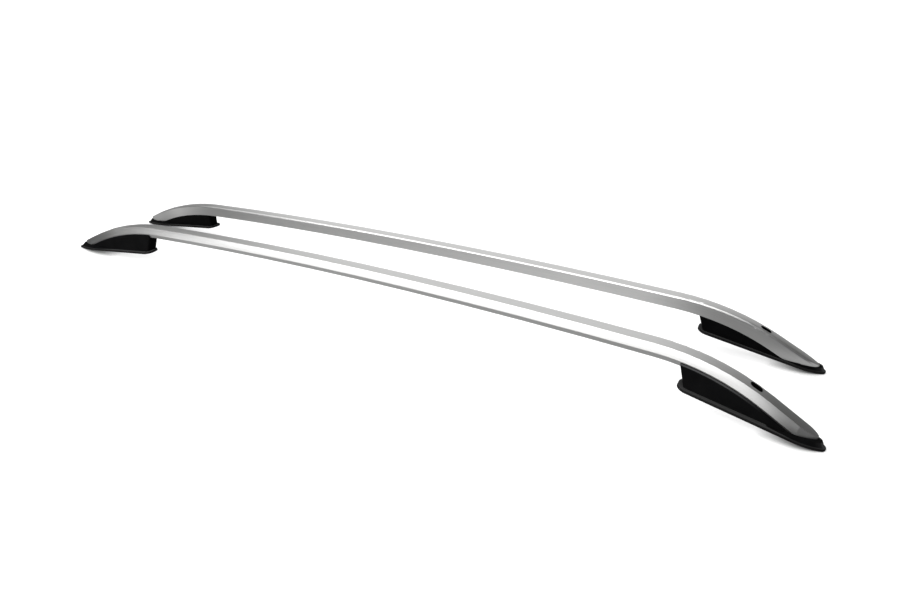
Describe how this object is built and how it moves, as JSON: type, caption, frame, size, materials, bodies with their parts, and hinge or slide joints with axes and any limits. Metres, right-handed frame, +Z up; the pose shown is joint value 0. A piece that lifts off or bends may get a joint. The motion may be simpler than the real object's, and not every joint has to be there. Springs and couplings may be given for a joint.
{
  "type": "roof side rail pair",
  "caption": "Pair of bowed aluminium roof side rails on black moulded feet with rubber base pads, bolted to a vehicle roof through steel sleeves in the feet.",
  "frame": {"origin": "midway between the rails and midway along them, at the level of the pad tips that the pair rests on", "axes": "+X along the rails to the front of the vehicle, +Y to its left, +Z up"},
  "size_m": [1.8694, 0.2798, 0.1259],
  "materials": {
    "rail_silver": "satin anodised",
    "foot_black": "fine moulded texture",
    "pad_rubber": "matte",
    "sleeve_steel": "zinc plated",
    "fastener_zinc": "zinc plated"
  },
  "bodies": {
    "root": {"right_bar": "rail_silver", "right_front_foot": "foot_black", "right_front_pad": "pad_rubber", "right_front_sleeve": "sleeve_steel", "right_front_screw_1": "fastener_zinc", "right_front_nut_1": "fastener_zinc", "right_front_screw_2": "fastener_zinc", "right_front_nut_2": "fastener_zinc", "right_rear_foot": "foot_black", "right_rear_pad": "pad_rubber", "right_rear_sleeve": "sleeve_steel", "right_rear_screw_1": "fastener_zinc", "right_rear_nut_1": "fastener_zinc", "right_rear_screw_2": "fastener_zinc", "right_rear_nut_2": "fastener_zinc", "left_bar": "rail_silver", "left_front_foot": "foot_black", "left_front_pad": "pad_rubber", "left_front_sleeve": "sleeve_steel", "left_front_screw_1": "fastener_zinc", "left_front_nut_1": "fastener_zinc", "left_front_screw_2": "fastener_zinc", "left_front_nut_2": "fastener_zinc", "left_rear_foot": "foot_black", "left_rear_pad": "pad_rubber", "left_rear_sleeve": "sleeve_steel", "left_rear_screw_1": "fastener_zinc", "left_rear_nut_1": "fastener_zinc", "left_rear_screw_2": "fastener_zinc", "left_rear_nut_2": "fastener_zinc"}
  },
  "joints": []
}
